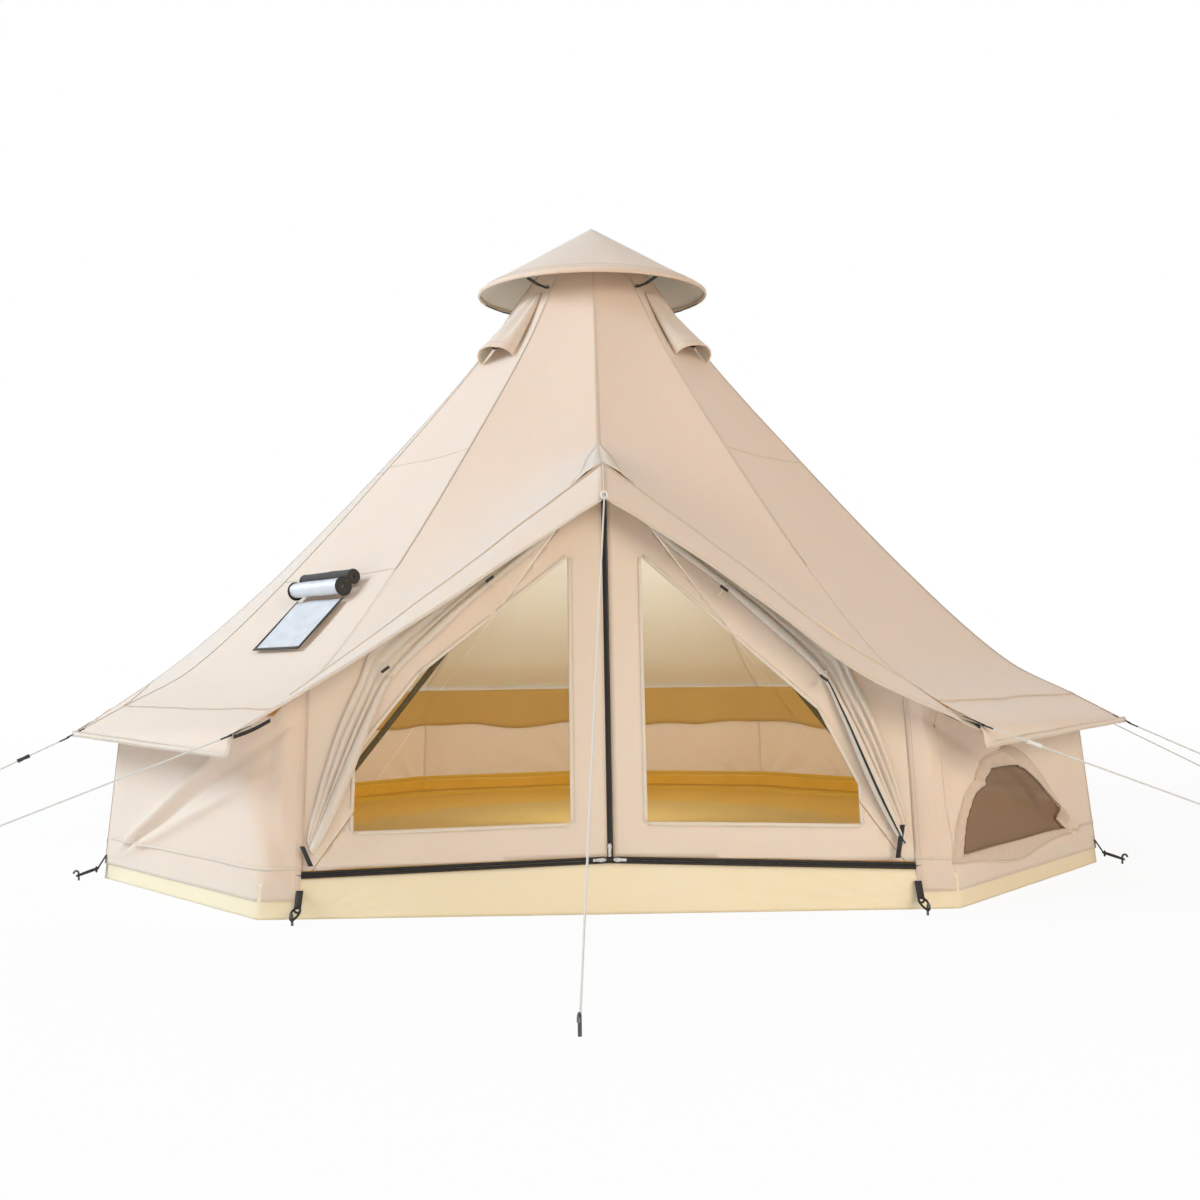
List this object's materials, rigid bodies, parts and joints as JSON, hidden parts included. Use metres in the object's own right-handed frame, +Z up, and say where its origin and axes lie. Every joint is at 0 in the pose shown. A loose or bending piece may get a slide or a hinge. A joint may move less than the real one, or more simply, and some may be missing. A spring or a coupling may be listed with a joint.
{
  "type": "hot tent",
  "caption": "Round canvas bell tent on a centre pole, with a netted A-frame door, rolled door flaps, roof vents, rain cap, stove jack, welded floor and guy ropes.",
  "frame": {"origin": "middle of the groundsheet's underside, below the centre pole", "axes": "+Z up; the door faces -Y; +X is to the right of a person who looks at the door"},
  "size_m": [5.837, 4.9376, 2.634],
  "materials": {
    "canvas": "matt woven cotton",
    "canvas_lining": "matt woven cotton",
    "coated_floor": "satin coated cloth",
    "net": "fine insect net",
    "zip": "matt tape",
    "webbing": "matt elastic",
    "silver_cloth": "satin heat-resistant cloth",
    "steel_tube": "satin",
    "black_tube": "satin",
    "peg_steel": "satin",
    "plug": "matt",
    "white_cord": "braided",
    "white_plastic": "matt",
    "black_plastic": "matt",
    "slider_metal": "polished"
  },
  "bodies": {
    "tent": {"base_peg_door_left": "webbing", "base_peg_door_right": "webbing", "base_peg_side_left": "webbing", "base_peg_side_right": "webbing", "center_pole_lower": "steel_tube", "center_pole_upper": "steel_tube", "crown_plate": "canvas_lining", "door_flap_left": "canvas_lining", "door_flap_right": "canvas_lining", "door_pole_elbow": "black_tube", "door_pole_leg_left": "black_tube", "door_pole_leg_right": "black_tube", "groundsheet": "coated_floor", "guy_peg_corner_left": "peg_steel", "guy_peg_corner_right": "peg_steel", "guy_peg_front": "peg_steel", "guy_peg_rear_right": "peg_steel", "guy_peg_side_left": "peg_steel", "guy_peg_side_right": "peg_steel", "guy_rope_corner_left": "white_cord", "guy_rope_corner_right": "white_cord", "guy_rope_front": "white_cord", "guy_rope_rear_right": "white_cord", "guy_rope_side_left": "white_cord", "guy_rope_side_right": "white_cord", "pole_top_plug": "plug", "rain_cap": "canvas", "roof_door_left": "canvas", "roof_door_right": "canvas", "roof_front_left": "canvas", "roof_front_right": "canvas", "roof_rear_left": "canvas", "roof_rear_right": "canvas", "roof_side_left": "canvas", "roof_side_right": "canvas", "screen_side_left": "canvas_lining", "screen_side_right": "canvas_lining", "sill_zip": "zip", "stove_jack_cover": "silver_cloth", "stove_jack_panel": "silver_cloth", "vent_front_left": "canvas", "vent_front_right": "canvas", "vent_rear_left": "canvas", "vent_rear_right": "canvas", "wall_front_left": "canvas", "wall_front_right": "canvas", "wall_rear_left": "canvas", "wall_rear_right": "canvas", "wall_side_left": "canvas", "wall_side_right": "canvas", "window_front_right": "net", "window_side_left": "net", "window_side_right": "net"},
    "leaf_left": {"screen_leaf_left": "canvas_lining"},
    "leaf_right": {"screen_leaf_right": "canvas_lining"},
    "door_slider": {"door_zip_slider": "slider_metal"},
    "sill_slider_left": {"sill_zip_slider_left": "slider_metal"},
    "sill_slider_right": {"sill_zip_slider_right": "slider_metal"},
    "runner_corner_right": {"runner_corner_right": "white_plastic"},
    "runner_side_left": {"runner_side_left": "black_plastic"}
  },
  "joints": [
    {"name": "leaf_left_fold", "type": "hinge", "parent": "tent", "child": "leaf_left", "pos_m": [-0.85, -1.70237, 0.13042], "axis": [0.5718, 0.1641, 0.8038], "range_deg": [0, 85]},
    {"name": "leaf_right_fold", "type": "hinge", "parent": "tent", "child": "leaf_right", "pos_m": [0.85, -1.70237, 0.13042], "axis": [0.5718, -0.1641, -0.8038], "range_deg": [0, 85]},
    {"name": "door_zip", "type": "slide", "parent": "leaf_left", "child": "door_slider", "axis": [0, 0.2, 0.9798], "range_m": [0, 1.04]},
    {"name": "sill_zip_left", "type": "slide", "parent": "tent", "child": "sill_slider_left", "axis": [-0.9994, -0.007, -0.0341], "range_m": [0, 0.78]},
    {"name": "sill_zip_right", "type": "slide", "parent": "tent", "child": "sill_slider_right", "axis": [0.9994, -0.007, -0.0341], "range_m": [0, 0.78]},
    {"name": "runner_corner_right_slide", "type": "slide", "parent": "tent", "child": "runner_corner_right", "axis": [0.9312, -0.0728, -0.3571], "range_m": [-0.1, 0.8]},
    {"name": "runner_side_left_slide", "type": "slide", "parent": "tent", "child": "runner_side_left", "axis": [-0.7833, -0.4523, -0.4264], "range_m": [-0.1, 0.6]}
  ]
}
